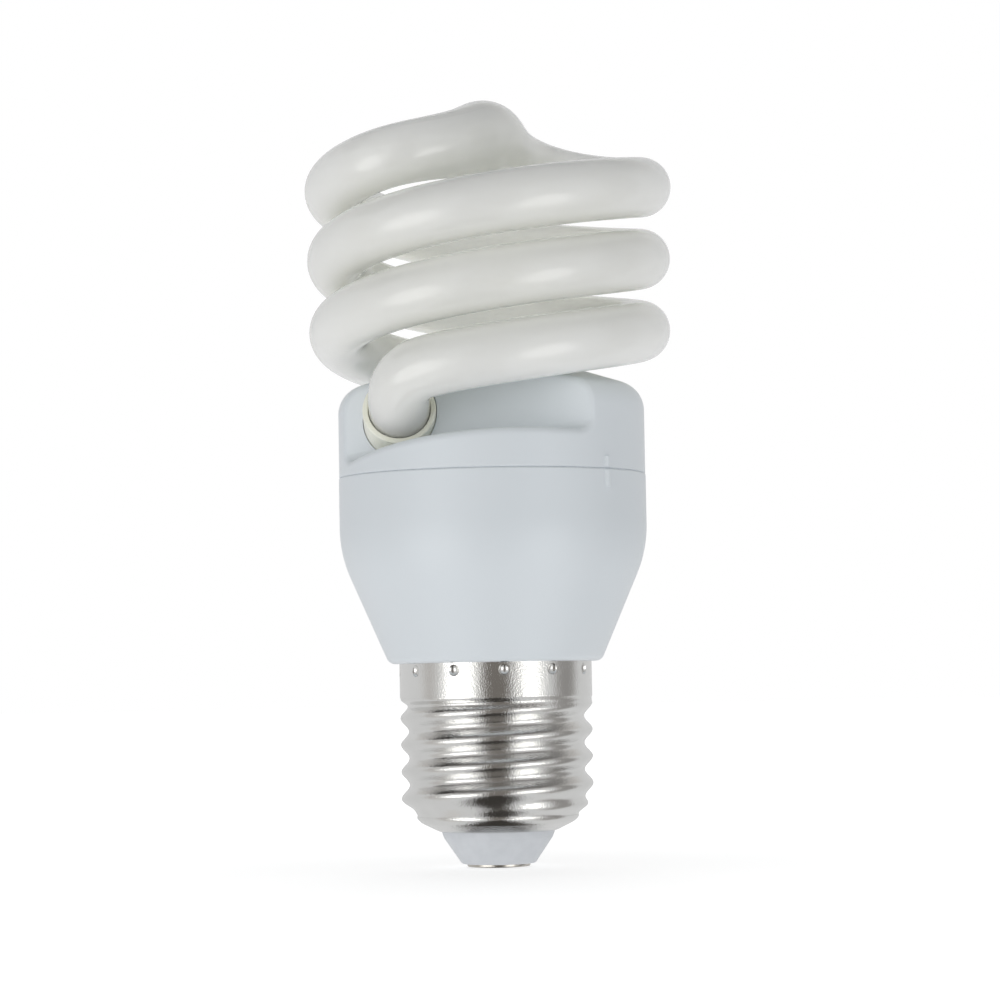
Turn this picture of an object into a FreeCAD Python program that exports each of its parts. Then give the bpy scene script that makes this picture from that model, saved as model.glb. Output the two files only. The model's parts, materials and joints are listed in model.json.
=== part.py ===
import FreeCAD, Part
import math
import os

# Spiral energy saving lamp with an E27 cap, in millimetres
# Origin: centre of the contact's lower face. +Z runs up the lamp, -Y is the front

V = FreeCAD.Vector
os.makedirs("parts", exist_ok=True)

# Fits, per side
FIT = 0.1
LEAD_FIT = 0.1
LAP = 0.3

# Centre contact: a closed eyelet riveted over the insulator
CONTACT_R = 4.3
CONTACT_T = 0.4
CONTACT_EDGE = 0.2
EYELET_R = 1.4
EYELET_HEAD_R = 2.0
EYELET_HEAD_T = 0.4
EYELET_BORE_R = 0.65
EYELET_FLOOR = 0.4

# Cap insulator: a moulded cone caught in the hole of the shell
INSUL_TIP_R = 5.0
INSUL_SHOULDER_R = 7.4
INSUL_SHOULDER_DROP = 0.9
INSUL_RIM_R = 7.75
INSUL_NECK_R = 6.9
INSUL_CONE_H = 4.4
INSUL_WALL = 1.5
INSUL_FLANGE_T = 0.9
INSUL_EDGE = 0.5

# Screw shell: E27, right-hand rounded thread
SHELL_WALL = 0.3
THREAD_CREST_R = 13.1
THREAD_DEPTH = 1.12
THREAD_PITCH = 3.63
THREAD_PHASE = 0.18
THREAD_LEN = 16.1
THREAD_RUN_IN = 2.0
THREAD_RUN_OUT = 1.3
THREAD_ROWS = 8
THREAD_COLUMNS = 24
BOWL_LIP_R = 8.0
BOWL_LIP_ROUND = 1.5
BOWL_KNEE_R = 10.45
BOWL_KNEE_H = 1.2
BOWL_KNEE_ROUND = 2.0
BOWL_R = 11.05
BOWL_ROUND = 0.6
BOWL_H = 2.1
BAND_R = 13.12
BAND_LEN = 4.7
BAND_STEP = 0.05
CRIMP_COUNT = 12
CRIMP_TURN = 275.0
CRIMP_R = 0.9
CRIMP_DEPTH = 0.45
CRIMP_DROP = 1.05

# Lower housing: cone and cylinder over the neck
HOUSING_WALL = 1.4
HOUSING_R = 21.0
HOUSING_H = 25.4
HOUSING_BASE_R = 14.5
HOUSING_BASE_EDGE = 1.2
HOUSING_CONE_H = 15.05
HOUSING_BEND = 17.2
NECK_R = 11.4
NECK_LEN = 13.2
SEAT_LEN = 4.4
PARTING_EDGE = 0.22

# Board ledge and the snap joint of the two casings
BOARD_DROP = 5.3
BOARD_T = 1.2
BOARD_MARGIN = 0.5
LEDGE_W = 1.6
LEDGE_H = 1.0
SPIGOT_T = 1.3
SPIGOT_ROOT = 1.2
LATCH_COUNT = 4
LATCH_ARC = 16.0
LATCH_DEPTH = 0.4
LATCH_H = 1.2
LATCH_DROP = 2.3

# Upper cover: dome with two pockets, half a turn apart
COVER_WALL = 1.4
COVER_STEP = 0.05
COVER_CORNER_H = 11.55
COVER_SHOULDER = 3.8
DOME_RISE = 4.1
DOME_FLAT_R = 8.0
DOME_BEND = 12.0
POCKET_BACK = 11.7
POCKET_TURN = -16.0
POCKET_FLOOR_H = 1.4
POCKET_FLOOR_TILT = 11.2
POCKET_FLOOR_TURN = 15.0
POCKET_ROUND = 1.2
POCKET_LIP = 1.0

# Alignment rib across the parting line
RIB_TURN = 46.9
RIB_W = 1.2
RIB_PROUD = 0.3
RIB_UP = 1.6
RIB_DOWN = 2.5

# Glass tube: two right-hand coils, joined by an S over the top. Rises are above the parting line
TUBE_R = 4.12
COIL_R = 20.8
COIL_FLARE = 0.33
COIL_LEAD = 19.8
COIL_RISE = 19.8
COIL_TURN_MID = 540.0
COIL_START = 248.0
COIL_END = 724.4
COIL_STEP = 24.0
BRIDGE_OUT_R = 17.85
BRIDGE_OUT_TURN = 46.5
BRIDGE_OUT_RISE = 42.55
BRIDGE_IN_R = 8.4
BRIDGE_IN_TURN = 68.6
BRIDGE_IN_RISE = 44.95
BRIDGE_RISE = 46.55
BULGE = 1.13
BULGE_POWER = 1.25
LEG_X = -12.3
LEG_Y = -10.7
LEG_RISE = 8.6
LEG_DIP = 20.0
LEG_PULL = 5.0
LEG_COUNT = 6
TAIL_LEN = 10.5
SWEEP_COUNT = 8
RING_COUNT = 36
SEAL_STEP = 0.05
SEAL_CONE_H = 2.4
SEAL_TIP_R = 2.1
PRESS_W = 5.0
PRESS_T = 1.6
PRESS_LEN = 3.4
EXHAUST_R = 1.0
EXHAUST_LEN = 1.2

# Collars
COLLAR_GAP = 0.08
COLLAR_WALL = 0.75
COLLAR_LEN = 7.5
COLLAR_EDGE = 0.2

# Ballast parts under the board, drawn to the board's own radius
BOARD_R = HOUSING_R - HOUSING_WALL - BOARD_MARGIN
LAYOUT = BOARD_R / 19.1
LEAD_R = 0.3
LEAD_OUT = 0.8
STANDOFF = 0.3
PIN_W = 0.9
PIN_UP = 5.0
PIN_DOWN = 0.2
PIN_RADIUS = 14.2 * LAYOUT
PIN_GAP = 4.4 * LAYOUT
PIN_TURN = 108.0
LAMP_LEAD_R = 0.25
BULK_R = 5.0 * LAYOUT
BULK_H = 16.0 * LAYOUT
BULK_PITCH = 5.0 * LAYOUT
BULK_X = 3.5 * LAYOUT
BULK_DROP = 11.5 * LAYOUT
CORE_W = 13.0 * LAYOUT
CORE_DEPTH = 6.3 * LAYOUT
CORE_T = 6.0 * LAYOUT
CORE_LEG = 3.6 * LAYOUT
CORE_SIDE = 1.8 * LAYOUT
CORE_BACK = 2.0 * LAYOUT
CORE_X = -9.0 * LAYOUT
BOBBIN_T = 0.5 * LAYOUT
BOBBIN_FLANGE = 0.7 * LAYOUT
BOBBIN_H = 10.0 * LAYOUT
CHOKE_PIN_PITCH = 6.0 * LAYOUT
TOROID_X = 11.0 * LAYOUT
TOROID_Y = 5.2 * LAYOUT
TOROID_R = 4.2 * LAYOUT
TOROID_BORE = 2.1 * LAYOUT
TOROID_H = 3.2 * LAYOUT
TOROID_WIRE_R = 0.4 * LAYOUT
TOROID_COUNT = 9
TRANSISTOR_W = 8.0 * LAYOUT
TRANSISTOR_T = 3.0 * LAYOUT
TRANSISTOR_H = 9.0 * LAYOUT
TRANSISTOR_PITCH = 2.3 * LAYOUT
DIODE_R = 1.35 * LAYOUT
DIODE_LEN = 5.2 * LAYOUT
DIODE_SPAN = 7.6 * LAYOUT
DIODE_EDGE = 0.25
FILTER_X = 2.3 * LAYOUT
FILTER_Y = 4.1 * LAYOUT
FILTER_R = 3.0 * LAYOUT
FILTER_SPOOL_R = 1.7 * LAYOUT
FILTER_RIM = 0.8 * LAYOUT
FILTER_H = 7.5 * LAYOUT
CABLE_R = 0.5
SHELL_LEAD_R = 0.4
WIRE_COUNT = 4

# Heights, each built up from the one below it
Z_INSUL = CONTACT_T
Z_SHELL = Z_INSUL + INSUL_CONE_H
Z_THREAD = Z_SHELL + BOWL_H
Z_BAND = Z_THREAD + THREAD_LEN
Z_HOUSING = Z_BAND + BAND_LEN
Z_PART = Z_HOUSING + HOUSING_H
Z_BOARD = Z_PART - BOARD_DROP
Z_BOARD_TOP = Z_BOARD + BOARD_T
Z_NECK = Z_HOUSING - NECK_LEN
Z_CORNER = Z_PART + COVER_CORNER_H
Z_DOME = Z_CORNER + DOME_RISE
Z_COIL = Z_PART + COIL_RISE
Z_BRIDGE = Z_PART + BRIDGE_RISE
LEG_MOUTH = V(LEG_X, LEG_Y, Z_PART + LEG_RISE)

SEAT_R = BAND_R - SHELL_WALL - FIT
COLLAR_BORE = TUBE_R + COLLAR_GAP
COLLAR_R = COLLAR_BORE + COLLAR_WALL
SPIGOT_R = HOUSING_R - HOUSING_WALL - FIT
COVER_R = HOUSING_R - COVER_STEP
AXIS = V(0, 0, 1)
ORIGIN = V(0, 0, 0)

# Holes that the leads ask of the board: (x, y, radius)
board_holes = []


def profile(corners):
    """Closed face in the XZ plane through (r, z) or (r, z, rounding) corners."""
    count = len(corners)
    spots = [V(c[0], 0, c[1]) for c in corners]
    joints = []
    for i, corner in enumerate(corners):
        here = spots[i]
        if len(corner) < 3 or corner[2] <= 0:
            joints.append((here, None, here))
            continue
        back = (spots[i - 1] - here).normalize()
        ahead = (spots[(i + 1) % count] - here).normalize()
        half = back.getAngle(ahead) / 2
        middle = (back + ahead).normalize()
        run = corner[2] / math.tan(half)
        nose = here + middle * (corner[2] / math.sin(half) - corner[2])
        joints.append((here + back * run, nose, here + ahead * run))
    edges = []
    for i, (first, nose, last) in enumerate(joints):
        if nose is not None:
            edges.append(Part.Arc(first, nose, last).toShape())
        following = joints[(i + 1) % count][0]
        if last.distanceToPoint(following) > 1e-6:
            edges.append(Part.makeLine(last, following))
    return Part.Face(Part.Wire(edges))


def turned(corners, angle=360):
    """Profile turned about the lamp's axis."""
    return profile(corners).revolve(ORIGIN, AXIS, angle)


def inset(chain, wall):
    """Open chain of corners moved by the wall to the left of its travel."""
    count = len(chain)
    ways = []
    for a, b in zip(chain, chain[1:]):
        size = math.hypot(b[0] - a[0], b[1] - a[1])
        ways.append(((b[0] - a[0]) / size, (b[1] - a[1]) / size))
    moved = []
    for i, corner in enumerate(chain):
        d1 = ways[max(i - 1, 0)]
        d2 = ways[min(i, count - 2)]
        n1 = (-d1[1], d1[0])
        n2 = (-d2[1], d2[0])
        share = wall / (1 + n1[0] * n2[0] + n1[1] * n2[1])
        spot = (corner[0] + (n1[0] + n2[0]) * share, corner[1] + (n1[1] + n2[1]) * share)
        if len(corner) == 3 and 0 < i < count - 1:
            left_turn = d1[0] * d2[1] - d1[1] * d2[0] > 0
            spot = spot + (corner[2] - wall if left_turn else corner[2] + wall,)
        moved.append(spot)
    return moved


def aimed(shape, spot, way):
    """Shape made along +Z at the origin, laid along a direction from a spot."""
    shape.Placement = FreeCAD.Placement(spot, FreeCAD.Rotation(AXIS, way))
    return shape


def half_turn(shape):
    """Copy of a shape on the far side of the lamp."""
    copy = shape.copy()
    copy.rotate(ORIGIN, AXIS, 180)
    return copy


def half_turn_spot(spot):
    """Point on the far side of the lamp."""
    return V(-spot.x, -spot.y, spot.z)


def ring_of(shape, count):
    """Copies of a shape spread evenly about the lamp's axis."""
    copies = []
    for i in range(count):
        copy = shape.copy()
        copy.rotate(ORIGIN, AXIS, 360.0 * i / count)
        copies.append(copy)
    return copies


def curve_through(points):
    """Smooth curve through the points."""
    path = Part.BSplineCurve()
    path.interpolate(points)
    return path


def swept(path, radius, spans, last=None):
    """Round bar along a curve, up to a parameter of it, swept span by span."""
    first = path.FirstParameter
    step = ((path.LastParameter if last is None else last) - first) / spans
    edges = []
    for i in range(spans):
        span = path.copy()
        span.segment(first + step * i, first + step * (i + 1))
        edges.append(span.toShape())
    ring = Part.Wire([Part.makeCircle(radius, path.value(first), V(path.tangent(first)[0]))])
    return Part.Wire(edges).makePipeShell([ring], True, False)


def smooth(t):
    """Ease from 0 to 1 with level ends."""
    t = min(max(t, 0.0), 1.0)
    return t * t * (3 - 2 * t)


# Screw cap

def make_contact():
    head_z = Z_INSUL + INSUL_WALL
    top = head_z + EYELET_HEAD_T
    return turned([
        (0, 0), (CONTACT_R, 0, CONTACT_EDGE), (CONTACT_R, CONTACT_T), (EYELET_R, CONTACT_T),
        (EYELET_R, head_z), (EYELET_HEAD_R, head_z), (EYELET_HEAD_R, top, EYELET_HEAD_T / 2),
        (EYELET_BORE_R, top), (EYELET_BORE_R, EYELET_FLOOR), (0, EYELET_FLOOR)])


def make_insulator():
    lip = Z_SHELL + SHELL_WALL
    shoulder = Z_SHELL - INSUL_SHOULDER_DROP
    slope = (INSUL_SHOULDER_R - INSUL_TIP_R) / (shoulder - Z_INSUL)
    flange_r = BOWL_LIP_R - SHELL_WALL - FIT
    floor = Z_INSUL + INSUL_WALL
    inner_top = INSUL_NECK_R - INSUL_WALL
    return turned([
        (EYELET_R + FIT, Z_INSUL), (INSUL_TIP_R, Z_INSUL, INSUL_EDGE),
        (INSUL_SHOULDER_R, shoulder, INSUL_EDGE), (INSUL_RIM_R, Z_SHELL), (INSUL_NECK_R, Z_SHELL), (INSUL_NECK_R, lip), (flange_r, lip),
        (flange_r, lip + INSUL_FLANGE_T), (inner_top, lip + INSUL_FLANGE_T),
        (inner_top - slope * (lip + INSUL_FLANGE_T - floor), floor, INSUL_EDGE),
        (EYELET_R + FIT, floor)])


def thread_radius(turn, z):
    """Outer radius of the rolled thread, run in from the bowl and out to the band."""
    phase = (z - Z_THREAD) / THREAD_PITCH - turn - THREAD_PHASE
    wave = 0.5 + 0.5 * math.cos(2 * math.pi * phase)
    r = THREAD_CREST_R - THREAD_DEPTH * (1 - wave)
    low = smooth((z - Z_THREAD) / THREAD_RUN_IN)
    high = smooth((z - Z_BAND + THREAD_RUN_OUT) / THREAD_RUN_OUT)
    r = r * low + (BOWL_R - BAND_STEP) * (1 - low)
    return r * (1 - high) + (BAND_R - BAND_STEP) * high


def thread_plug(inward):
    """Solid bounded by the thread surface, drawn in by the wall."""
    z0 = Z_THREAD - LAP / 3
    z1 = Z_BAND + LAP
    rows = int(THREAD_ROWS * (z1 - z0) / THREAD_PITCH)
    grid = []
    for j in range(rows + 1):
        z = z0 + (z1 - z0) * j / rows
        line = []
        for i in range(THREAD_COLUMNS + 1):
            turn = (i % THREAD_COLUMNS) / THREAD_COLUMNS
            r = thread_radius(turn, z) - inward
            line.append(V(r * math.cos(2 * math.pi * turn), r * math.sin(2 * math.pi * turn), z))
        grid.append(line)
    surface = Part.BSplineSurface()
    surface.interpolate(grid)
    side = surface.toShape()
    faces = [side]
    for edge in side.Edges:
        if edge.BoundBox.ZLength < LAP / 2:
            faces.append(Part.Face(Part.Wire([edge])))
    skin = Part.makeShell(faces)
    skin.sewShape()
    return Part.makeSolid(skin)


def crimp_balls(radius):
    """Balls on the crimp ring, for the dents and for what gives way to them."""
    spot = V(BAND_R + CRIMP_R - CRIMP_DEPTH, 0, Z_HOUSING - CRIMP_DROP)
    ball = Part.makeSphere(radius, spot)
    ball.rotate(ORIGIN, AXIS, CRIMP_TURN)
    return ring_of(ball, CRIMP_COUNT)


def make_shell():
    bowl = [
        (INSUL_NECK_R + FIT, Z_SHELL), (BOWL_LIP_R, Z_SHELL, BOWL_LIP_ROUND),
        (BOWL_KNEE_R, Z_SHELL + BOWL_KNEE_H, BOWL_KNEE_ROUND),
        (BOWL_R, Z_THREAD - LAP, BOWL_ROUND), (BOWL_R, Z_THREAD)]
    bowl = turned(bowl + inset(bowl, SHELL_WALL)[::-1])
    thread = thread_plug(0).cut(thread_plug(SHELL_WALL))
    band = turned([
        (BAND_R - SHELL_WALL, Z_BAND), (BAND_R, Z_BAND), (BAND_R, Z_HOUSING),
        (BAND_R - SHELL_WALL, Z_HOUSING)])
    inside = Part.makeCylinder(BAND_R - SHELL_WALL / 2, Z_HOUSING)
    bumps = [ball.common(inside) for ball in crimp_balls(CRIMP_R + SHELL_WALL)]
    band = band.multiFuse(bumps).cut(crimp_balls(CRIMP_R))
    return thread.multiFuse([bowl, band]).removeSplitter()


# Casings

def rib(low, high, radius):
    """Small rounded rib up the outside of a casing."""
    bar = Part.makeCylinder(RIB_W / 2, high - low, V(0, RIB_W / 2 - radius - RIB_PROUD, low))
    bar.rotate(ORIGIN, AXIS, RIB_TURN)
    return bar


def latch_profile(deep, gap):
    """Section of a latch, standing out of the spigot or cut into the housing."""
    mid = Z_PART - LATCH_DROP
    half = LATCH_H / 2 + gap
    root = SPIGOT_R - SPIGOT_T / 2
    return [
        (root, mid - half), (SPIGOT_R, mid - half), (SPIGOT_R + deep, mid - half / 3),
        (SPIGOT_R + deep, mid + half), (root, mid + half)]


def make_lower_housing():
    chain = [
        (NECK_R, Z_NECK), (NECK_R, Z_HOUSING - SEAT_LEN), (SEAT_R, Z_HOUSING - SEAT_LEN),
        (SEAT_R, Z_HOUSING), (HOUSING_BASE_R, Z_HOUSING, HOUSING_BASE_EDGE),
        (HOUSING_R, Z_HOUSING + HOUSING_CONE_H, HOUSING_BEND), (HOUSING_R, Z_PART, PARTING_EDGE)]
    body = turned(chain + inset(chain, HOUSING_WALL)[::-1])
    inner = HOUSING_R - HOUSING_WALL
    root = HOUSING_R - HOUSING_WALL / 2
    ledge = turned([
        (inner - LEDGE_W, Z_BOARD), (root, Z_BOARD),
        (root, Z_BOARD - LEDGE_H - LEDGE_W - HOUSING_WALL / 2), (inner - LEDGE_W, Z_BOARD - LEDGE_H)])
    body = body.fuse(ledge).fuse(rib(Z_PART - RIB_DOWN, Z_PART - PARTING_EDGE, HOUSING_R))
    groove = turned(latch_profile(LATCH_DEPTH + FIT, FIT))
    return body.cut(crimp_balls(CRIMP_R + SHELL_WALL + FIT) + [groove])


def back_way():
    """Direction that the front pocket's back faces."""
    return FreeCAD.Rotation(AXIS, POCKET_TURN).multVec(V(0, -1, 0))


def pocket(wall):
    """Front pocket: open space above its floor and in front of its back, let out by the wall."""
    size = 4 * COVER_R
    back = Part.makeBox(size, size, size, V(-size / 2, wall - POCKET_BACK - size, Z_PART - size / 2))
    back.rotate(ORIGIN, AXIS, POCKET_TURN)
    above = Part.makeBox(size, size, size, V(-size / 2, -size / 2, 0))
    above.rotate(ORIGIN, V(1, 0, 0), -POCKET_FLOOR_TILT)
    above.rotate(ORIGIN, AXIS, POCKET_FLOOR_TURN)
    drop = wall / math.cos(math.radians(POCKET_FLOOR_TILT))
    above.translate(V(0, 0, Z_PART + POCKET_FLOOR_H - drop))
    space = back.common(above)
    floor_way = V(0, 0, 1)
    floor_way = FreeCAD.Rotation(V(1, 0, 0), -POCKET_FLOOR_TILT).multVec(floor_way)
    floor_way = FreeCAD.Rotation(AXIS, POCKET_FLOOR_TURN).multVec(floor_way)
    seam = []
    for edge in space.Edges:
        spot = edge.CenterOfMass
        on_back = abs(spot.dot(back_way()) - POCKET_BACK + wall) < 1e-3
        on_floor = abs((spot - V(0, 0, Z_PART + POCKET_FLOOR_H - drop)).dot(floor_way)) < 1e-3
        if on_back and on_floor:
            seam.append(edge)
    return space.makeFillet(POCKET_ROUND + wall, seam)


def lip_edges(body):
    """Curved edges where the backs of the two pockets run out through the dome."""
    edges = []
    for edge in body.Edges:
        spots = [edge.valueAt(at) for at in (edge.FirstParameter, edge.LastParameter)]
        on_back = all(abs(abs(spot.dot(back_way())) - POCKET_BACK) < 1e-3 for spot in spots)
        if on_back and edge.Curve.TypeId != "Part::GeomLine":
            edges.append(edge)
    return edges


def leg_way():
    """Direction of the front leg down into the cover."""
    dip = math.radians(LEG_DIP)
    return V(0, math.cos(dip), -math.sin(dip))


def make_upper_cover():
    chain = [
        (COVER_R, Z_PART, PARTING_EDGE), (COVER_R, Z_CORNER, COVER_SHOULDER),
        (DOME_FLAT_R, Z_DOME, DOME_BEND), (0, Z_DOME)]
    outer = turned(chain + [(0, Z_PART)])
    inner = turned(inset(chain, COVER_WALL) + [(0, Z_PART)])
    behind = pocket(COVER_WALL)
    inner = inner.cut([behind, half_turn(behind)])
    space = pocket(0)
    outer = outer.cut([space, half_turn(space)])
    body = outer.makeFillet(POCKET_LIP, lip_edges(outer)).cut(inner)
    low = Z_BOARD_TOP + FIT
    spigot = turned([
        (SPIGOT_R - SPIGOT_T, low), (SPIGOT_R, low, 3 * FIT), (SPIGOT_R, Z_PART),
        (COVER_R - COVER_WALL / 2, Z_PART), (COVER_R - COVER_WALL / 2, Z_PART + SPIGOT_ROOT),
        (SPIGOT_R - SPIGOT_T, Z_PART + SPIGOT_ROOT)])
    latch = turned(latch_profile(LATCH_DEPTH, 0), LATCH_ARC)
    body = body.multiFuse([spigot, rib(Z_PART + PARTING_EDGE, Z_PART + RIB_UP, COVER_R)]
                          + ring_of(latch, LATCH_COUNT))
    hole = Part.makeCylinder(COLLAR_R + FIT, 2 * COLLAR_LEN)
    hole = aimed(hole, LEG_MOUTH - leg_way() * FIT, leg_way())
    return body.cut([hole, half_turn(hole)])


def make_collar():
    sleeve = profile([
        (COLLAR_BORE, 0, COLLAR_EDGE), (COLLAR_R, 0, COLLAR_EDGE), (COLLAR_R, COLLAR_LEN),
        (COLLAR_BORE, COLLAR_LEN)])
    return aimed(sleeve.revolve(ORIGIN, AXIS, 360), LEG_MOUTH, leg_way())


# Glass tube

def coil_point(turn):
    """Point on the front strand's coil, at a turn in degrees."""
    r = COIL_R + COIL_FLARE * (turn - COIL_TURN_MID) / 360
    a = math.radians(turn)
    return V(r * math.cos(a), r * math.sin(a), Z_COIL + COIL_LEAD * (turn - 360) / 360)


def strand_points():
    """Centreline of the front strand, from its hidden end up to the middle of the bridge."""
    way = leg_way()
    start = coil_point(COIL_START)
    down = (coil_point(COIL_START - 0.5) - coil_point(COIL_START + 0.5)).normalize()
    points = [LEG_MOUTH + way * (TAIL_LEN * (1 - i / 3)) for i in range(3)]
    for i in range(LEG_COUNT):
        t = 1 - i / LEG_COUNT
        points.append(start * (1 - t) ** 3 + (start + down * LEG_PULL) * (3 * t * (1 - t) ** 2)
                      + (LEG_MOUTH - way * LEG_PULL) * (3 * t * t * (1 - t)) + LEG_MOUTH * t ** 3)
    steps = round((COIL_END - COIL_START) / COIL_STEP)
    for i in range(steps + 1):
        points.append(coil_point(COIL_START + (COIL_END - COIL_START) * i / steps))
    for r, turn, rise in ((BRIDGE_OUT_R, BRIDGE_OUT_TURN, BRIDGE_OUT_RISE),
                          (BRIDGE_IN_R, BRIDGE_IN_TURN, BRIDGE_IN_RISE)):
        a = math.radians(turn)
        points.append(V(r * math.cos(a), r * math.sin(a), Z_PART + rise))
    points.append(V(0, 0, Z_BRIDGE))
    return points


def press_seal():
    """Closed end of the tube: neck, flat press and exhaust tip."""
    stub = TUBE_R - SEAL_STEP
    neck = profile([
        (0, -LAP), (stub, -LAP), (stub, LAP), (SEAL_TIP_R, SEAL_CONE_H), (0, SEAL_CONE_H)])
    neck = neck.revolve(ORIGIN, AXIS, 360)
    press = Part.makeBox(PRESS_W, PRESS_T, PRESS_LEN + SEAL_CONE_H / 2)
    press.translate(V(-PRESS_W / 2, -PRESS_T / 2, SEAL_CONE_H / 2))
    press = press.makeFillet(PRESS_T / 4, press.Edges)
    tip_z = SEAL_CONE_H + PRESS_LEN + EXHAUST_LEN
    tip = Part.makeCylinder(EXHAUST_R, tip_z - SEAL_CONE_H, V(0, 0, SEAL_CONE_H))
    tip = tip.fuse(Part.makeSphere(EXHAUST_R, V(0, 0, tip_z)))
    return aimed(neck.multiFuse([press, tip]), LEG_MOUTH + leg_way() * TAIL_LEN, leg_way())


def bridge_radius(spot):
    """Radius of the tube over the bridge, which swells to a cool chamber on the axis."""
    outer = coil_point(COIL_END)
    inward = 1 - math.hypot(spot.x, spot.y) / math.hypot(outer.x, outer.y)
    return TUBE_R + BULGE * smooth(max(inward, 0.0) ** BULGE_POWER)


def make_tube():
    """Two swept strands, and the bridge skinned over rings set square to the centreline."""
    front = strand_points()
    rear = [half_turn_spot(p) for p in front[-2::-1]]
    path = curve_through(front + rear)
    start = path.parameter(coil_point(COIL_END))
    step = (path.parameter(half_turn_spot(coil_point(COIL_END))) - start) / RING_COUNT
    side = AXIS
    rings = []
    for i in range(RING_COUNT + 1):
        spot = path.value(start + step * i)
        way = V(path.tangent(start + step * i)[0])
        side = (side - way * side.dot(way)).normalize()
        ring = Part.makeCircle(bridge_radius(spot))
        ring.Placement = FreeCAD.Placement(spot, FreeCAD.Rotation(side, way.cross(side), way, "ZXY"))
        rings.append(Part.Wire([ring]))
    bridge = Part.makeLoft(rings, True, False)
    strand = swept(path, TUBE_R, SWEEP_COUNT, start).fuse(press_seal())
    return bridge.multiFuse([strand, half_turn(strand)])


# Ballast

def drawn(*sizes):
    """Places and sizes of the layout, drawn to the board's own radius."""
    return [size * LAYOUT for size in sizes]


def lead(x, y, z_low, radius=LEAD_R):
    """Straight lead up through the board, which gets a hole for it."""
    board_holes.append((x, y, radius + LEAD_FIT))
    return Part.makeCylinder(radius, Z_BOARD_TOP + LEAD_OUT - z_low, V(x, y, z_low))


def bar(a, b, radius):
    """Round bar between two points."""
    return aimed(Part.makeCylinder(radius, (b - a).Length), a, b - a)


def block(x, y, z_low, dx, dy, dz, edge):
    """Box on a centre point in plan, with all edges rounded."""
    box = Part.makeBox(dx, dy, dz, V(x - dx / 2, y - dy / 2, z_low))
    return box.makeFillet(edge, box.Edges)


def make_bulk_capacitor():
    top = Z_BOARD - BULK_DROP
    can = profile([
        (0, 0), (BULK_R, 0, 0.6), (BULK_R, BULK_H - 2.2, 0.2), (BULK_R - 0.4, BULK_H - 1.8, 0.2),
        (BULK_R, BULK_H - 1.4, 0.2), (BULK_R, BULK_H, 0.5), (0, BULK_H)])
    can = can.revolve(ORIGIN, AXIS, 360)
    can.translate(V(BULK_X, 0, top - BULK_H))
    return can.multiFuse([lead(BULK_X + s * BULK_PITCH / 2, 0, top - 0.5) for s in (-1, 1)])


def choke_z():
    return Z_BOARD - STANDOFF - BOBBIN_H / 2


def make_choke_core(side):
    """One E-shaped ferrite half, its legs meeting the other half in the middle."""
    low = choke_z() - CORE_T / 2
    body = Part.makeBox(CORE_W, CORE_DEPTH, CORE_T, V(CORE_X - CORE_W / 2, 0, low))
    gap = (CORE_W - CORE_LEG) / 2 - CORE_SIDE
    for s in (-1, 1):
        centre = CORE_X + s * (CORE_LEG + gap) / 2
        slot = Part.makeBox(gap, CORE_DEPTH - CORE_BACK, CORE_T, V(centre - gap / 2, 0, low))
        body = body.cut(slot)
    if side < 0:
        body.rotate(V(CORE_X, 0, 0), AXIS, 180)
    return body


def spool_size(wall):
    """Outer width and height of the bobbin's spool, let out by a wall."""
    return CORE_LEG + 2 * (FIT + BOBBIN_T + wall), CORE_T + 2 * (FIT + BOBBIN_T + wall)


def make_choke_bobbin():
    reach = CORE_DEPTH - CORE_BACK - FIT
    wide, high = spool_size(0)
    middle = choke_z()
    flange_w = CORE_W - 2 * CORE_SIDE - 2 * FIT
    body = Part.makeBox(wide, 2 * reach, high, V(CORE_X - wide / 2, -reach, middle - high / 2))
    for y in (-reach, reach - BOBBIN_FLANGE):
        body = body.fuse(Part.makeBox(flange_w, BOBBIN_FLANGE, BOBBIN_H,
                                      V(CORE_X - flange_w / 2, y, middle - BOBBIN_H / 2)))
    bore_w = CORE_LEG + 2 * FIT
    bore_h = CORE_T + 2 * FIT
    bore = Part.makeBox(bore_w, 2 * reach, bore_h)
    bore.translate(V(CORE_X - bore_w / 2, -reach, middle - bore_h / 2))
    body = body.cut(bore)
    pins = []
    for sx in (-1, 1):
        for sy in (-1, 1):
            pins.append(lead(CORE_X + sx * CHOKE_PIN_PITCH / 2, sy * (reach - BOBBIN_FLANGE / 2),
                             middle + BOBBIN_H / 2 - 1))
    return body.multiFuse(pins)


def make_choke_winding():
    length = 2 * (CORE_DEPTH - CORE_BACK - BOBBIN_FLANGE - 2 * FIT)
    wide, high = spool_size(FIT / 2)
    thick = (CORE_W - 2 * CORE_SIDE - wide) / 2 - 2 * FIT
    middle = choke_z()
    rise = (BOBBIN_H - high) / 2 - 2 * FIT
    outer = Part.makeBox(wide + 2 * thick, length, high + 2 * rise,
                         V(CORE_X - wide / 2 - thick, -length / 2, middle - high / 2 - rise))
    long_edges = [e for e in outer.Edges if e.BoundBox.YLength > length / 2]
    outer = outer.makeFillet(0.7 * thick, long_edges)
    bore = Part.makeBox(wide, length, high)
    bore.translate(V(CORE_X - wide / 2, -length / 2, middle - high / 2))
    return outer.cut(bore)


def toroid_z():
    return Z_BOARD - STANDOFF - TOROID_H / 2 - 3 * TOROID_WIRE_R


def make_toroid_core():
    core = profile([(TOROID_BORE, -TOROID_H / 2, 0.3), (TOROID_R, -TOROID_H / 2, 0.3),
                    (TOROID_R, TOROID_H / 2, 0.3), (TOROID_BORE, TOROID_H / 2, 0.3)])
    core = core.revolve(ORIGIN, AXIS, 360)
    core.translate(V(TOROID_X, TOROID_Y, toroid_z()))
    return core


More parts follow.
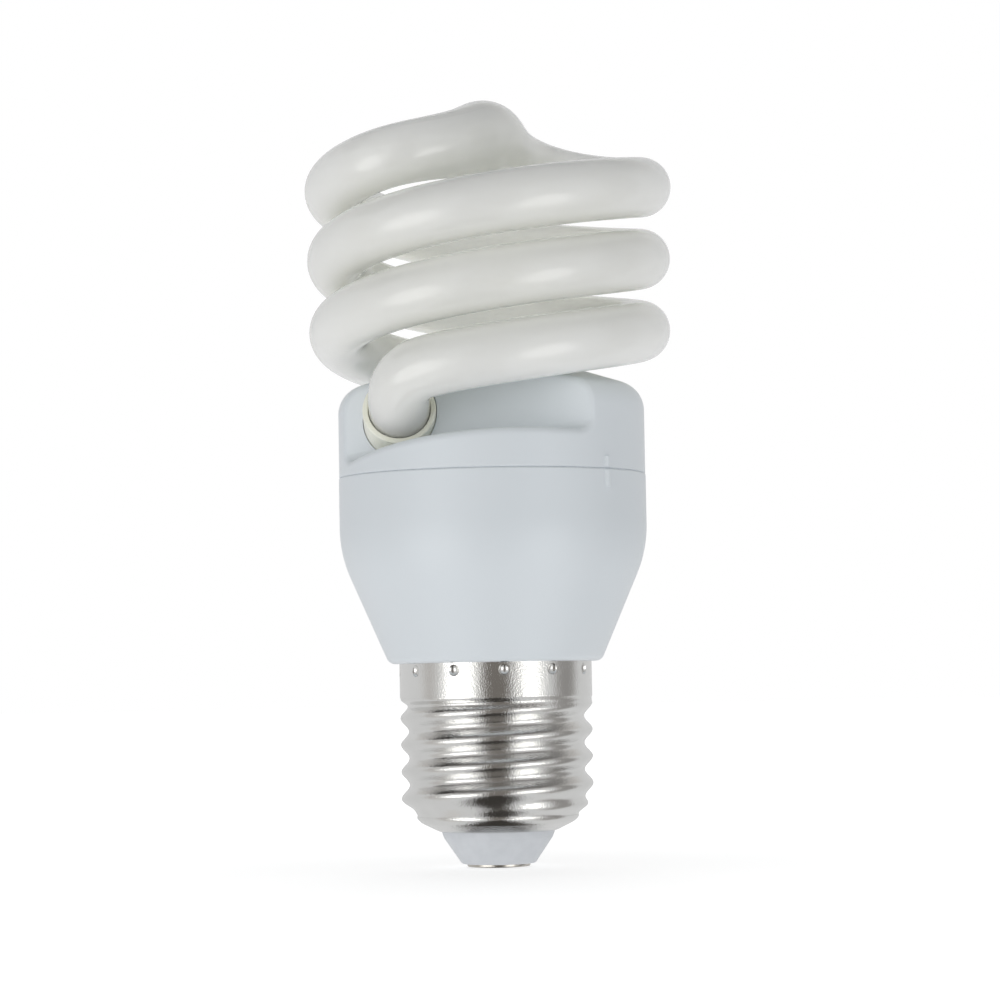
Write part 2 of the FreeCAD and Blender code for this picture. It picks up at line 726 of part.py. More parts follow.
def make_toroid_windings():
    """Turns of insulated wire round the ring, joined by a run at its rim, with their leads."""
    inner = TOROID_BORE - FIT
    outer = TOROID_R + FIT
    half = TOROID_H / 2 + FIT
    d = 2 * TOROID_WIRE_R
    loop = Part.makeBox(outer - inner + 2 * d, d, 2 * (half + d), V(inner - d, -d / 2, -half - d))
    loop = loop.makeFillet(TOROID_WIRE_R * 0.8, [e for e in loop.Edges if e.BoundBox.YLength > d / 2])
    loop = loop.cut(Part.makeBox(outer - inner, d, 2 * half, V(inner, -d / 2, -half)))
    turns = ring_of(loop, TOROID_COUNT)
    run = profile([(outer, -TOROID_WIRE_R), (outer + d, -TOROID_WIRE_R),
                   (outer + d, TOROID_WIRE_R), (outer, TOROID_WIRE_R)])
    run = run.revolve(ORIGIN, AXIS, 360)
    coil = run.multiFuse(turns)
    coil.translate(V(TOROID_X, TOROID_Y, toroid_z()))
    reach = outer + TOROID_WIRE_R
    step = math.radians(180.0 / TOROID_COUNT)
    ends = []
    for k in (1, 5, 9, 13):
        ends.append(lead(TOROID_X + reach * math.cos(step * k), TOROID_Y + reach * math.sin(step * k),
                         toroid_z(), TOROID_WIRE_R))
    return coil.multiFuse(ends)


def make_transistor(x, y):
    """Flat power transistor on end, with its fixing hole and three leads."""
    top = Z_BOARD - STANDOFF - LEAD_OUT
    body = Part.makeBox(TRANSISTOR_W, TRANSISTOR_T, TRANSISTOR_H,
                        V(x - TRANSISTOR_W / 2, y - TRANSISTOR_T / 2, top - TRANSISTOR_H))
    body = body.makeFillet(0.4, [e for e in body.Edges if e.BoundBox.YLength < FIT])
    hole = Part.makeCylinder(1.6, 2 * TRANSISTOR_T, V(x, y - TRANSISTOR_T, top - 0.68 * TRANSISTOR_H),
                             V(0, 1, 0))
    legs = [lead(x + i * TRANSISTOR_PITCH, y, top - 0.5) for i in (-1, 0, 1)]
    return body.cut(hole).multiFuse(legs)


def make_lying(x, y, radius, length, span, edge):
    """Axial part lying under the board along X, its leads bent up through the board."""
    z = Z_BOARD - STANDOFF - radius
    body = profile([(0, 0), (radius, 0, edge), (radius, length, edge), (0, length)])
    body = body.revolve(ORIGIN, AXIS, 360)
    body = aimed(body, V(x - length / 2, y, z), V(1, 0, 0))
    parts = [bar(V(x - span / 2, y, z), V(x + span / 2, y, z), LEAD_R)]
    for s in (-1, 1):
        parts.append(Part.makeSphere(LEAD_R, V(x + s * span / 2, y, z)))
        parts.append(lead(x + s * span / 2, y, z))
    return body.multiFuse(parts)


def make_standing(x, y, radius, length, reach_x, reach_y, drop):
    """Axial part on end, its far lead folded back up beside it."""
    top = Z_BOARD - drop
    low = top - length
    turn = low - 1.2
    body = profile([(0, 0), (radius, 0, radius / 4), (radius, length * 0.25, radius / 4),
                    (radius * 0.86, length * 0.32, radius / 4), (radius * 0.86, length * 0.68, radius / 4),
                    (radius, length * 0.75, radius / 4), (radius, length, radius / 4), (0, length)])
    body = body.revolve(ORIGIN, AXIS, 360)
    body.translate(V(x, y, low))
    far = V(x + reach_x, y + reach_y, turn)
    parts = [lead(x, y, turn), Part.makeSphere(LEAD_R, V(x, y, turn)), bar(V(x, y, turn), far, LEAD_R),
             Part.makeSphere(LEAD_R, far), lead(far.x, far.y, turn)]
    return body.multiFuse(parts)


def make_film_capacitor(x, y, width, thick, high, pitch):
    """Dipped film capacitor on two leads."""
    top = Z_BOARD - STANDOFF
    body = block(x, y, top - high, width, thick, high, thick * 0.3)
    return body.multiFuse([lead(x + s * pitch / 2, y, top - high / 2) for s in (-1, 1)])


def make_disc_capacitor(x, y, radius, thick, pitch):
    """Ceramic disc capacitor on two leads."""
    z = Z_BOARD - STANDOFF - LEAD_OUT - radius
    body = profile([(0, 0), (radius, 0, thick * 0.4), (radius, thick, thick * 0.4), (0, thick)])
    body = aimed(body.revolve(ORIGIN, AXIS, 360), V(x, y - thick / 2, z), V(0, 1, 0))
    return body.multiFuse([lead(x + s * pitch / 2, y, z) for s in (-1, 1)])


def filter_low():
    return Z_BOARD - STANDOFF - FILTER_H


def make_filter_core():
    low = filter_low()
    core = profile([(0, 0), (FILTER_R, 0, 0.2), (FILTER_R, FILTER_RIM), (FILTER_SPOOL_R, FILTER_RIM),
                    (FILTER_SPOOL_R, FILTER_H - FILTER_RIM), (FILTER_R, FILTER_H - FILTER_RIM),
                    (FILTER_R, FILTER_H, 0.2), (0, FILTER_H)])
    core = core.revolve(ORIGIN, AXIS, 360)
    core.translate(V(FILTER_X, FILTER_Y, low))
    z = low + FILTER_H - FILTER_RIM / 2
    return core.multiFuse([lead(FILTER_X + s * FILTER_SPOOL_R, FILTER_Y, z) for s in (-1, 1)])


def make_filter_winding():
    inner = FILTER_SPOOL_R + FIT / 2
    outer = FILTER_R - 2 * FIT
    low = FILTER_RIM + FIT
    high = FILTER_H - FILTER_RIM - FIT
    coil = profile([(inner, low), (outer, low, 0.3), (outer, high, 0.3), (inner, high)])
    coil = coil.revolve(ORIGIN, AXIS, 360)
    coil.translate(V(FILTER_X, FILTER_Y, filter_low()))
    return coil


def pin_spots():
    """Wrap pins in plan: a pair by each end of the tube."""
    spots = []
    for side in (0, 180):
        for s in (-1, 1):
            turn = math.radians(PIN_TURN + side) + s * PIN_GAP / 2 / PIN_RADIUS
            spots.append((PIN_RADIUS * math.cos(turn), PIN_RADIUS * math.sin(turn)))
    return spots


def make_wrap_pin(x, y):
    """Square pin with a pointed top, pressed through the board."""
    high = PIN_UP + BOARD_T + PIN_DOWN
    pin = Part.makeBox(PIN_W, PIN_W, high, V(x - PIN_W / 2, y - PIN_W / 2, Z_BOARD - PIN_DOWN))
    board_holes.append((x, y, PIN_W * math.sqrt(0.5) + LEAD_FIT))
    top = [e for e in pin.Edges if e.CenterOfMass.z > Z_BOARD_TOP + PIN_UP - FIT]
    return pin.makeChamfer(PIN_W / 4, top)


def make_filament_lead(spot, side):
    """Lead from the front press seal to its wrap pin, with a turn round the pin."""
    way = leg_way()
    seal = LEG_MOUTH + way * (TAIL_LEN + SEAL_CONE_H + PRESS_LEN + FIT)
    start = seal + V(side * PRESS_W * 0.36, 0, 0)
    loop_r = PIN_W * math.sqrt(0.5) + LAMP_LEAD_R + LEAD_FIT / 2
    pin = V(spot[0], spot[1], Z_BOARD_TOP + PIN_UP * 0.5)
    land = pin + V(start.x - pin.x, start.y - pin.y, 0).normalize() * loop_r
    sag = (start + way * 3 + land) * 0.5 + V(0, 0, 0.6)
    run = swept(curve_through([start, start + way * 1.5, sag, land]), LAMP_LEAD_R, WIRE_COUNT)
    return run.fuse(Part.makeTorus(loop_r, LAMP_LEAD_R, pin, AXIS))


def make_contact_lead():
    """Insulated lead from the board down past the capacitor into the eyelet."""
    x, y, pass_x, pass_y = drawn(-1.0, -3.4, -3.6, -5.0)
    board_holes.append((x, y, CABLE_R + LEAD_FIT))
    path = curve_through([
        V(x, y, Z_BOARD_TOP + LEAD_OUT), V(x, y, Z_BOARD - 1.5),
        V(x, y, Z_BOARD - 5), V(pass_x, pass_y, Z_BOARD - 14),
        V(-5.4, -3.2, Z_NECK + 6), V(-2.2, -1.2, Z_SHELL + 5), V(0, 0, Z_INSUL + 2.6),
        V(0, 0, EYELET_FLOOR + FIT)])
    return swept(path, CABLE_R, 2 * WIRE_COUNT)


def make_shell_lead():
    """Lead from the board, bent under the neck's rim to the inside of the shell."""
    x, y, pass_x, pass_y = drawn(-1.0, 2.6, -3.8, 4.6)
    board_holes.append((x, y, SHELL_LEAD_R + LEAD_FIT))
    root = THREAD_CREST_R - THREAD_DEPTH - SHELL_WALL
    turn = math.radians(142)
    reach = root - SHELL_LEAD_R - 2 * FIT
    dive = NECK_R - HOUSING_WALL - 4 * SHELL_LEAD_R
    spot = [V(q * math.cos(turn), q * math.sin(turn), 0) for q in (dive, dive + 0.3, reach)]
    path = curve_through([
        V(x, y, Z_BOARD_TOP + LEAD_OUT), V(x, y, Z_BOARD - 1.5),
        V(x, y, Z_BOARD - 5), V(pass_x, pass_y, Z_BOARD - 14),
        spot[0] + V(0, 0, Z_NECK + 4), spot[1] + V(0, 0, Z_NECK - 0.6),
        spot[2] + V(0, 0, Z_NECK - 2.4)])
    return swept(path, SHELL_LEAD_R, 2 * WIRE_COUNT)


def make_board():
    disc = profile([(0, Z_BOARD), (BOARD_R, Z_BOARD),
                    (BOARD_R, Z_BOARD_TOP), (0, Z_BOARD_TOP)])
    disc = disc.revolve(ORIGIN, AXIS, 360)
    low = Z_BOARD - BOARD_T
    return disc.cut([Part.makeCylinder(r, 3 * BOARD_T, V(x, y, low)) for x, y, r in board_holes])


# Whole lamp, one solid to a node. The board comes last, when every lead has asked for its hole

nodes = {
    "glass_tube": make_tube(),
    "tube_collar_front": make_collar(),
    "tube_collar_rear": half_turn(make_collar()),
    "upper_cover": make_upper_cover(),
    "lower_housing": make_lower_housing(),
    "screw_shell": make_shell(),
    "cap_insulator": make_insulator(),
    "centre_contact": make_contact(),
    "bulk_capacitor": make_bulk_capacitor(),
    "choke_core_front": make_choke_core(-1),
    "choke_core_rear": make_choke_core(1),
    "choke_bobbin": make_choke_bobbin(),
    "choke_winding": make_choke_winding(),
    "toroid_core": make_toroid_core(),
    "toroid_windings": make_toroid_windings(),
    "transistor_high": make_transistor(*drawn(9.0, -3.4)),
    "transistor_low": make_transistor(*drawn(8.2, -8.4)),
    "resonant_capacitor": make_film_capacitor(*drawn(-7.0, -9.6, 10.0, 4.0, 8.0, 7.5)),
    "blocking_capacitor": make_film_capacitor(*drawn(-1.5, -14.2, 8.6, 3.4, 7.5, 4.0)),
    "snubber_capacitor": make_disc_capacitor(*drawn(1.2, -6.4, 2.5, 2.0, 2.5)),
    "filter_core": make_filter_core(),
    "filter_winding": make_filter_winding(),
    "fusible_resistor": make_standing(*drawn(1.0, -10.2, 1.4, 6.5, -2.2, 0.6, 1.6)),
    "diac": make_standing(*drawn(-13.2, 9.0, 0.95, 3.6, -0.9, -1.7, 2.0)),
    "contact_lead": make_contact_lead(),
    "shell_lead": make_shell_lead(),
}
for i, (x, y) in enumerate([(-7.2, 9.2), (1.8, 9.2), (-7.2, 12.6), (1.8, 12.6)]):
    diode = make_lying(*drawn(x, y), DIODE_R, DIODE_LEN, DIODE_SPAN, DIODE_EDGE)
    nodes["rectifier_diode_%d" % (i + 1)] = diode
for i, (x, y, rx, ry) in enumerate([(15.2, -0.9, 0, -1.8), (14.4, -4.6, 0.6, -1.7),
                                    (13.3, -8.6, -0.4, -1.9), (10.2, -11.9, -1.9, 0)]):
    nodes["resistor_%d" % (i + 1)] = make_standing(*drawn(x, y, 0.95, 4.2, rx, ry, 2.0))
for i, spot in enumerate(pin_spots()):
    nodes["wrap_pin_%d" % (i + 1)] = make_wrap_pin(spot[0], spot[1])
for i, side in enumerate((1, -1)):
    front_lead = make_filament_lead(pin_spots()[i], side)
    nodes["filament_lead_%d" % (i + 1)] = front_lead
    nodes["filament_lead_%d" % (i + 3)] = half_turn(front_lead)
nodes["circuit_board"] = make_board()

for name, shape in nodes.items():
    shape.exportStep("parts/%s.step" % name)
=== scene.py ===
import json
import math
import bpy
from mathutils import Matrix, Vector

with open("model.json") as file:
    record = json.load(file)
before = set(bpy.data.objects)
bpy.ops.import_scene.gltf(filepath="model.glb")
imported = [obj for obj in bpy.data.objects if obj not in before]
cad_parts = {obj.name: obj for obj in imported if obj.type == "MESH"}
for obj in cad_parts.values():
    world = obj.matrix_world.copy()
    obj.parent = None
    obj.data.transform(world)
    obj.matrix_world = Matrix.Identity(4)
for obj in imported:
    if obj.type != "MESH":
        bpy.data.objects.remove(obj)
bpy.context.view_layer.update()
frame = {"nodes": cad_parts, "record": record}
nodes = frame["nodes"]
slots = {part["node"]: part["material_slot"] for part in frame["record"]["subparts"]}

# Camera: places in metres, roll in degrees, lens and sensor in millimetres
CAMERA_SPOT = (0.0, -0.440, 0.0249)
CAMERA_AIM = (0.0010, 0.0, 0.0499)
CAMERA_ROLL = 1.0
CAMERA_LENS = 115.8
CAMERA_SENSOR = 36.0
CAMERA_NEAR = 0.01

# Colours of the studio
WHITE = (1.0, 1.0, 1.0)
BLACK = (0.0, 0.0, 0.0)
SOFT_WHITE = (1.0, 0.99, 0.97)
WARM_WHITE = (1.0, 0.97, 0.94)
CREAM = (1.0, 0.95, 0.90)
TAN = (1.0, 0.92, 0.84)
BOX_WHITE = (1.0, 0.99, 0.975)
AIR_WHITE = (0.97, 0.99, 1.0)
PAPER_DARK = (0.40, 0.40, 0.40)
PAPER_PALE = (0.44, 0.44, 0.44)

# Point that the soft boxes and the cards face, in metres
MIDDLE = Vector((0.0, 0.0, 0.05))

# Soft boxes: name, width, height, turn from the front in degrees, distance, level, height above the floor
SOFT_BOXES = (
    ("soft_left", 0.62, 0.50, -55.0, 0.70, 0.3, 0.09),
    ("soft_right", 0.66, 0.50, 48.0, 0.70, 0.1, 0.09),
    ("soft_rear", 0.80, 0.80, 180.0, 0.80, 2.4, 0.25),
    ("soft_front", 0.70, 0.70, -12.0, 0.95, 1.0, 0.24),
)

# Cards that only gloss and metal see: a bright one at each side of the front, dim ones between and around.
# Name, width, height, turn, rise and roll in degrees, level at the edge, level in the middle, tint
GLOSS_CARDS = (
    ("gloss_left", 0.58, 0.70, -46.0, -14.0, 25.0, 0.85, 2.30, SOFT_WHITE),
    ("gloss_right", 0.48, 0.62, 42.0, -18.0, 0.0, 0.85, 2.30, SOFT_WHITE),
    ("gloss_front", 0.44, 2.40, 1.0, 0.0, 0.0, 0.24, 0.20, TAN),
    ("gloss_far_left", 0.26, 2.00, -86.0, 0.0, 0.0, 0.70, 0.55, WARM_WHITE),
    ("gloss_far_right", 0.45, 2.00, 92.0, 0.0, 0.0, 0.50, 0.32, WARM_WHITE),
    ("gloss_above", 2.00, 2.00, 0.0, 89.9, 0.0, 0.60, 0.20, WARM_WHITE),
    ("gloss_high_left", 0.26, 0.30, -95.0, 45.0, 0.0, 0.05, 0.02, CREAM),
    ("gloss_below", 0.40, 1.40, 0.0, -89.9, 0.0, 0.10, 0.05, TAN),
)
CARD_DISTANCE = 0.70

# Share of the way in from the edge of a card at which it reaches the level of its middle
CARD_FADE = 0.4

# Floor: its size and place in metres, its own glow, and what the camera sees more, near the lamp and far away
FLOOR_WIDTH = 6.0
FLOOR_DROP = 0.0001
FLOOR_GLOW = 0.65
NEAR_REACH = 0.02
NEAR_LEVEL = 0.07
FAR_REACH = 0.20
FAR_LEVEL = 0.35

# Level of the world on the lamp, and what gloss and the camera see of it
AIR_LEVEL = 0.38
SEEN_LEVELS = (("Is Glossy Ray", 0.70), ("Is Camera Ray", 1.0))

# Part of a noise that a colour or a value runs along
NOISE_LOW = 0.3
NOISE_HIGH = 0.7

# Scale of the mottled colour of a plain finish as a share of its grain's, and how far its roughness varies
MOTTLE = 0.2
UNEVEN = 0.06

# Plain finishes: slot, darker and lighter colour, grain in metres, roughness, depth in metres, other sockets
PLAIN_FINISHES = (
    ("cream_plastic", (0.95, 0.95, 0.83), (0.97, 0.97, 0.88), 0.0004, 0.40, 0.00001, {}),
    ("insulator", (0.64, 0.665, 0.70), (0.675, 0.70, 0.735), 0.0003, 0.42, 0.00001, {}),
    ("contact_metal", (0.55, 0.53, 0.49), (0.66, 0.64, 0.60), 0.0005, 0.24, 0.00002, {"Metallic": 1.0}),
    ("tinned_wire", (0.50, 0.50, 0.51), (0.66, 0.66, 0.67), 0.0004, 0.30, 0.00002, {"Metallic": 1.0}),
    ("cable_sheath", (0.58, 0.58, 0.56), (0.66, 0.66, 0.63), 0.0006, 0.50, 0.00002, {}),
    ("ferrite", (0.035, 0.035, 0.04), (0.075, 0.073, 0.075), 0.0003, 0.62, 0.00005, {}),
    ("bobbin_plastic", (0.05, 0.05, 0.055), (0.085, 0.085, 0.09), 0.0005, 0.48, 0.00002, {}),
    ("black_epoxy", (0.012, 0.012, 0.014), (0.03, 0.03, 0.033), 0.0003, 0.50, 0.00003, {}),
    ("film_dip", (0.25, 0.045, 0.02), (0.36, 0.08, 0.035), 0.0009, 0.25, 0.00005, {"Coat_Weight": 0.5}),
    ("disc_dip", (0.48, 0.22, 0.06), (0.60, 0.31, 0.10), 0.0008, 0.40, 0.00006, {}),
    ("diode_glass", (0.10, 0.14, 0.28), (0.18, 0.23, 0.38), 0.0008, 0.12, 0.00003, {"Coat_Weight": 0.6}),
)

# Windings, in metres: from turn to turn of the wire, and from band to band of a wave texture of scale 1
WIRE_PITCH = 0.0003
WAVE_PITCH = 0.314

# Resistors: the lacquer, and the colour bands by their place along the body, from 0 to 1
RESISTOR_LACQUER = (0.46, 0.35, 0.20)
RESISTOR_BANDS = (
    (0.30, (0.20, 0.06, 0.02)),
    (0.40, (0.02, 0.02, 0.02)),
    (0.50, (0.45, 0.12, 0.02)),
    (0.62, (0.55, 0.40, 0.10)),
)
BAND_WIDTH = 0.05

# Capacitor: the stripe on its sleeve, from 0 to 1 across the body
STRIPE_WIDTH = 0.07
STRIPE_COLOUR = (0.55, 0.57, 0.60)
SLEEVE_COLOUR = (0.02, 0.025, 0.05)


# Node helpers

def start(name, **values):
    """New material with its shader's own sockets set."""
    finish = bpy.data.materials.new(name)
    finish.use_nodes = True
    shader = finish.node_tree.nodes["Principled BSDF"]
    for key, value in values.items():
        shader.inputs[key.replace("_", " ")].default_value = value
    return finish, shader


def add(finish, kind, links=None, **values):
    """New node with its sockets set and linked."""
    node = finish.node_tree.nodes.new(kind)
    for key, value in values.items():
        node.inputs[key.replace("_", " ")].default_value = value
    for key, source in (links or {}).items():
        finish.node_tree.links.new(source, node.inputs[key])
    return node


def join(finish, shader, **sources):
    """Sources into the shader's sockets."""
    for key, source in sources.items():
        finish.node_tree.links.new(source, shader.inputs[key.replace("_", " ")])


def places(finish, kind="Object"):
    """Coordinates: Object ones in metres, or Generated ones from 0 to 1 across the piece."""
    return add(finish, "ShaderNodeTexCoord").outputs[kind]


def noise(finish, scale, detail, stretch=(1.0, 1.0, 1.0)):
    """Noise over the object's own coordinates."""
    spread = add(finish, "ShaderNodeMapping", {"Vector": places(finish)}, Scale=stretch)
    cloud = add(finish, "ShaderNodeTexNoise", {"Vector": spread.outputs["Vector"]},
                Scale=scale, Detail=detail)
    return cloud.outputs["Fac"]


def ramp(finish, source, *stops, steps=False):
    """Colours along a value: (place, colour) stops."""
    node = add(finish, "ShaderNodeValToRGB", {"Fac": source})
    node.color_ramp.interpolation = "CONSTANT" if steps else "EASE"
    marks = node.color_ramp.elements
    while len(marks) < len(stops):
        marks.new(0.5)
    for mark, (place, colour) in zip(marks, stops):
        mark.position = place
        mark.color = (*colour, 1.0)
    return node.outputs["Color"]


def mottled(finish, source, low, high):
    """Colour from low to high along a noise."""
    return ramp(finish, source, (NOISE_LOW, low), (NOISE_HIGH, high))


def span(finish, source, low, high):
    """Value from low to high along a noise."""
    node = add(finish, "ShaderNodeMapRange", {"Value": source},
               From_Min=NOISE_LOW, From_Max=NOISE_HIGH, To_Min=low, To_Max=high)
    return node.outputs["Result"]


def bumped(finish, height, depth):
    """Normal raised by a height, which is that deep in metres."""
    return add(finish, "ShaderNodeBump", {"Height": height}, Distance=depth).outputs["Normal"]


# Materials, one to a slot

def plain(slot, low, high, grain, rough, depth, sockets):
    """Surface with a mottled colour, uneven gloss and a fine grain."""
    finish, shader = start(slot, **sockets)
    broad = noise(finish, scale=MOTTLE / grain, detail=4.0)
    fine = noise(finish, scale=1.0 / grain, detail=5.0)
    join(finish, shader,
         Base_Color=mottled(finish, broad, low, high),
         Roughness=span(finish, fine, rough - UNEVEN, rough + UNEVEN),
         Normal=bumped(finish, fine, depth))
    return finish


def opal_glass():
    """Phosphor lined tube: chalky inside, clear and slightly wavy outside."""
    finish, shader = start("opal_glass", Roughness=0.6, Specular_IOR_Level=0.0, Coat_Weight=1.0,
                           Coat_IOR=1.65, Subsurface_Weight=1.0, Subsurface_Radius=(1.0, 1.0, 1.0),
                           Subsurface_Scale=0.02)
    cloud = noise(finish, scale=70.0, detail=3.0)
    speck = noise(finish, scale=2500.0, detail=4.0)
    wave = noise(finish, scale=45.0, detail=1.0, stretch=(1.0, 1.0, 2.0))
    join(finish, shader,
         Base_Color=mottled(finish, cloud, (0.915, 0.92, 0.838), (0.94, 0.945, 0.864)),
         Coat_Roughness=span(finish, speck, 0.015, 0.035),
         Normal=bumped(finish, speck, 0.00001),
         Coat_Normal=bumped(finish, wave, 0.0003))
    return finish


def casing():
    """Moulded cool white plastic, finely textured."""
    finish, shader = start("casing", IOR=1.48)
    cloud = noise(finish, scale=40.0, detail=2.0)
    skin = noise(finish, scale=5200.0, detail=3.0)
    join(finish, shader,
         Base_Color=ramp(finish, cloud, (0.25, (0.755, 0.803, 0.843)), (0.75, (0.775, 0.82, 0.858))),
         Roughness=span(finish, skin, 0.28, 0.38),
         Normal=bumped(finish, skin, 0.000012))
    return finish


def nickel_shell():
    """Rolled nickel with a fine pebbled skin."""
    finish, shader = start("nickel_shell", Metallic=1.0)
    stain = noise(finish, scale=110.0, detail=4.0)
    skin = noise(finish, scale=5000.0, detail=2.0)
    join(finish, shader,
         Base_Color=mottled(finish, stain, (0.745, 0.745, 0.735), (0.80, 0.80, 0.79)),
         Roughness=span(finish, stain, 0.07, 0.12),
         Normal=bumped(finish, skin, 0.00003))
    return finish


def board():
    """Paper laminate with dark fibres."""
    finish, shader = start("board")
    fibre = noise(finish, scale=900.0, detail=5.0, stretch=(1.0, 0.2, 1.0))
    cross = noise(finish, scale=700.0, detail=3.0, stretch=(0.25, 1.0, 1.0))
    join(finish, shader,
         Base_Color=ramp(finish, fibre, (NOISE_LOW, (0.34, 0.24, 0.11)), (0.55, (0.50, 0.38, 0.20)),
                         (NOISE_HIGH, (0.58, 0.46, 0.27))),
         Roughness=span(finish, cross, 0.45, 0.65),
         Normal=bumped(finish, cross, 0.00002))
    return finish


def enamelled_wire():
    """Copper wire, turn beside turn along Y."""
    finish, shader = start("enamelled_wire", Metallic=0.7, Coat_Weight=0.6, Coat_Roughness=0.1)
    turns = add(finish, "ShaderNodeTexWave", {"Vector": places(finish)},
                Scale=WAVE_PITCH / WIRE_PITCH, Distortion=0.4)
    turns.bands_direction = "Y"
    varnish = noise(finish, scale=600.0, detail=3.0)
    join(finish, shader,
         Base_Color=mottled(finish, varnish, (0.46, 0.17, 0.06), (0.62, 0.28, 0.11)),
         Roughness=span(finish, varnish, 0.22, 0.38),
         Normal=bumped(finish, turns.outputs["Fac"], 0.0001))
    return finish


def resistor_body():
    """Lacquered resistor with colour bands up its length."""
    finish, shader = start("resistor_body", Coat_Weight=0.4, Coat_Roughness=0.2)
    along = add(finish, "ShaderNodeSeparateXYZ", {"Vector": places(finish, "Generated")})
    stops = [(0.0, RESISTOR_LACQUER)]
    for place, colour in RESISTOR_BANDS:
        stops += [(place, colour), (place + BAND_WIDTH, RESISTOR_LACQUER)]
    lacquer = noise(finish, scale=1500.0, detail=3.0)
    join(finish, shader,
         Base_Color=ramp(finish, along.outputs["Z"], *stops, steps=True),
         Roughness=span(finish, lacquer, 0.3, 0.45),
         Normal=bumped(finish, lacquer, 0.00003))
    return finish


def capacitor_sleeve():
    """Shrunk sleeve with a pale stripe at one side."""
    finish, shader = start("capacitor_sleeve", Coat_Weight=0.5, Coat_Roughness=0.15)
    across = add(finish, "ShaderNodeSeparateXYZ", {"Vector": places(finish, "Generated")})
    film = noise(finish, scale=800.0, detail=4.0)
    stops = [(0.0, STRIPE_COLOUR), (STRIPE_WIDTH, SLEEVE_COLOUR)]
    join(finish, shader,
         Base_Color=ramp(finish, across.outputs["X"], *stops, steps=True),
         Roughness=span(finish, film, 0.25, 0.4),
         Normal=bumped(finish, film, 0.00003))
    return finish


finishes = {
    "opal_glass": opal_glass(),
    "casing": casing(),
    "nickel_shell": nickel_shell(),
    "board": board(),
    "enamelled_wire": enamelled_wire(),
    "resistor_body": resistor_body(),
    "capacitor_sleeve": capacitor_sleeve(),
}
for slot, *values in PLAIN_FINISHES:
    finishes[slot] = plain(slot, *values)
for name, node in nodes.items():
    node.data.materials.clear()
    node.data.materials.append(finishes[slots[name]])


# Studio

def looking(spot, aim, roll=0.0):
    """Place at a spot with -Z towards an aim, turned clockwise about it by the roll in degrees."""
    steep = 0.99
    ahead = (aim - spot).normalized()
    side = ahead.cross(Vector((0, 0, 1))) if abs(ahead.z) < steep else Vector((1, 0, 0))
    side.normalize()
    up = side.cross(ahead)
    turn = math.radians(roll)
    right = side * math.cos(turn) - up * math.sin(turn)
    top = side * math.sin(turn) + up * math.cos(turn)
    place = Matrix((right, top, -ahead)).transposed().to_4x4()
    place.translation = spot
    return place


def card(name, width, height, spot, aim, roll=0.0):
    """Stage rectangle at a spot, square to the line from there to an aim."""
    mesh = bpy.data.meshes.new(name)
    corners = [(x * width / 2, y * height / 2, 0) for x, y in ((-1, -1), (1, -1), (1, 1), (-1, 1))]
    mesh.from_pydata(corners, [], [(0, 1, 2, 3)])
    panel = bpy.data.objects.new(name, mesh)
    bpy.context.scene.collection.objects.link(panel)
    panel.matrix_world = looking(Vector(spot), Vector(aim), roll)
    return panel


def soft_box(name, width, height, turn, distance, level, rise):
    """Soft box that gloss doesn't show. Its level is the brightness of its face, where 1 is white."""
    light = bpy.data.lights.new(name, "AREA")
    light.shape = "RECTANGLE"
    light.size = width
    light.size_y = height
    light.energy = level * math.pi * width * height
    light.color = BOX_WHITE
    box = bpy.data.objects.new(name, light)
    bpy.context.scene.collection.objects.link(box)
    angle = math.radians(turn)
    spot = Vector((distance * math.sin(angle), -distance * math.cos(angle), rise))
    box.matrix_world = looking(spot, MIDDLE)
    box.visible_glossy = False


def gloss_card(name, width, height, turn, rise, roll, edge, middle, tint):
    """Card that shows in gloss alone, from one level at its edge to another in its middle."""
    angle = math.radians(turn)
    climb = math.radians(rise)
    away = Vector((math.sin(angle) * math.cos(climb), -math.cos(angle) * math.cos(climb), math.sin(climb)))
    panel = card(name, width, height, away * CARD_DISTANCE + MIDDLE, MIDDLE, roll)
    finish, shader = start(name, Base_Color=(*BLACK, 1), Specular_IOR_Level=0.0, Emission_Color=(*tint, 1))
    fitted = add(finish, "ShaderNodeMapping", {"Vector": places(finish)}, Scale=(2 / width, 2 / height, 1))
    fade = add(finish, "ShaderNodeTexGradient", {"Vector": fitted.outputs["Vector"]})
    fade.gradient_type = "SPHERICAL"
    level = add(finish, "ShaderNodeMapRange", {"Value": fade.outputs["Fac"]},
                From_Max=CARD_FADE, To_Min=edge, To_Max=middle)
    join(finish, shader, Emission_Strength=level.outputs["Result"])
    panel.data.materials.append(finish)
    panel.visible_camera = False
    panel.visible_shadow = False
    panel.visible_diffuse = False


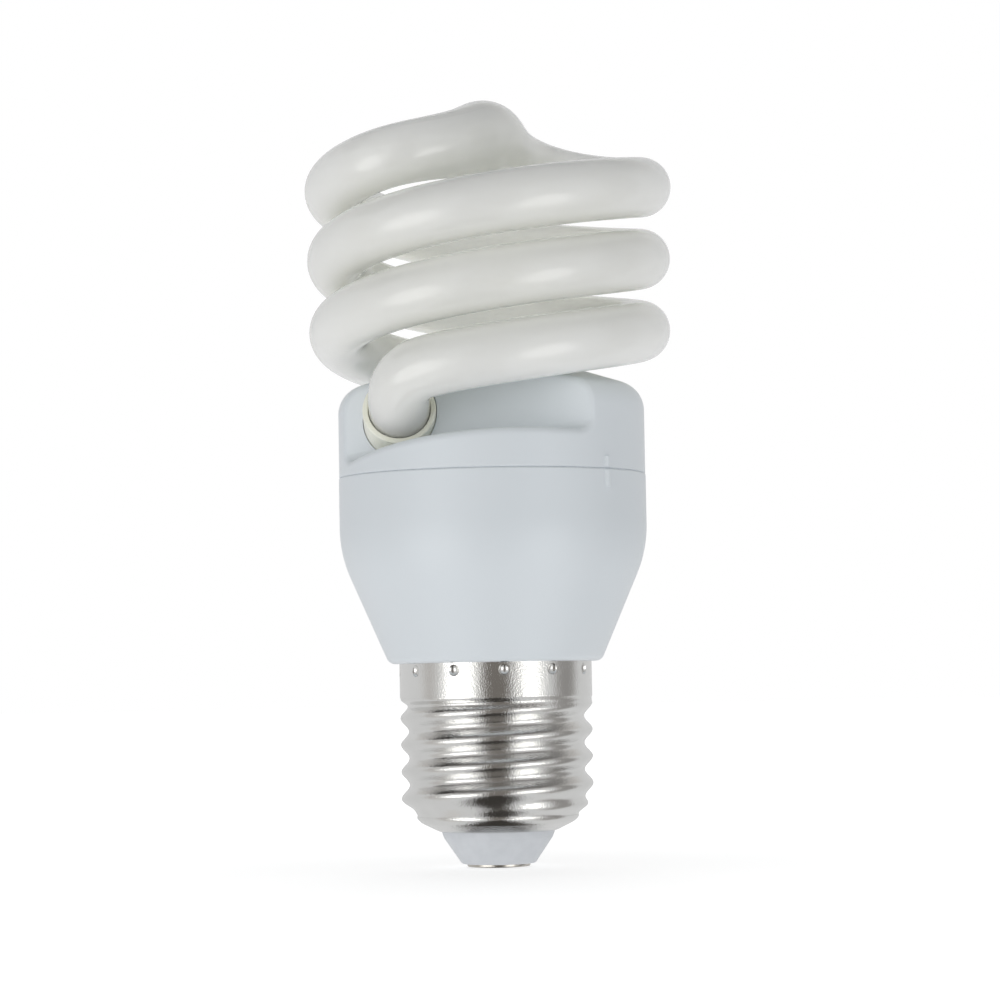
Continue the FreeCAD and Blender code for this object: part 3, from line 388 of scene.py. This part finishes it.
def paper_floor():
    """Pale floor that glows by itself, and that the camera sees whiter away from the lamp."""
    sheet = card("floor", FLOOR_WIDTH, FLOOR_WIDTH, (0, 0, -FLOOR_DROP), (0, 0, -1.0))
    finish, shader = start("floor", Roughness=0.8, Specular_IOR_Level=0.0, Emission_Color=(*WHITE, 1))
    paper = noise(finish, scale=3.0, detail=2.0)
    rays = add(finish, "ShaderNodeLightPath")
    reach = add(finish, "ShaderNodeVectorMath", {"Vector": places(finish)})
    reach.operation = "LENGTH"
    seen = add(finish, "ShaderNodeMapRange", {"Value": reach.outputs["Value"]},
               From_Min=NEAR_REACH, From_Max=FAR_REACH, To_Min=NEAR_LEVEL, To_Max=FAR_LEVEL)
    glow = add(finish, "ShaderNodeMath", {0: rays.outputs["Is Camera Ray"], 1: seen.outputs["Result"]})
    glow.operation = "MULTIPLY_ADD"
    glow.inputs[2].default_value = FLOOR_GLOW
    join(finish, shader,
         Base_Color=mottled(finish, paper, PAPER_DARK, PAPER_PALE),
         Emission_Strength=glow.outputs["Value"])
    sheet.data.materials.append(finish)
    sheet.visible_glossy = False


def background(tree, colour, level):
    """Even light from all sides of the world."""
    node = tree.nodes.new("ShaderNodeBackground")
    node.inputs["Color"].default_value = (*colour, 1)
    node.inputs["Strength"].default_value = level
    return node


def surroundings():
    """World that fills in the light, and that gloss and the camera see at levels of their own."""
    world = bpy.data.worlds.new("studio")
    bpy.context.scene.world = world
    world.use_nodes = True
    tree = world.node_tree
    tree.nodes.clear()
    rays = tree.nodes.new("ShaderNodeLightPath")
    shown = background(tree, AIR_WHITE, AIR_LEVEL)
    for ray, level in SEEN_LEVELS:
        mix = tree.nodes.new("ShaderNodeMixShader")
        tree.links.new(rays.outputs[ray], mix.inputs[0])
        tree.links.new(shown.outputs[0], mix.inputs[1])
        tree.links.new(background(tree, WHITE, level).outputs[0], mix.inputs[2])
        shown = mix
    output = tree.nodes.new("ShaderNodeOutputWorld")
    tree.links.new(shown.outputs[0], output.inputs["Surface"])


def front_camera():
    """Camera at the viewing angle of the photograph."""
    eye = bpy.data.cameras.new("camera")
    eye.sensor_width = CAMERA_SENSOR
    eye.lens = CAMERA_LENS
    eye.clip_start = CAMERA_NEAR
    camera = bpy.data.objects.new("camera", eye)
    bpy.context.scene.collection.objects.link(camera)
    camera.matrix_world = looking(Vector(CAMERA_SPOT), Vector(CAMERA_AIM), CAMERA_ROLL)
    bpy.context.scene.camera = camera


for values in SOFT_BOXES:
    soft_box(*values)
for values in GLOSS_CARDS:
    gloss_card(*values)
paper_floor()
surroundings()
front_camera()
bpy.context.scene.view_settings.view_transform = "Standard"
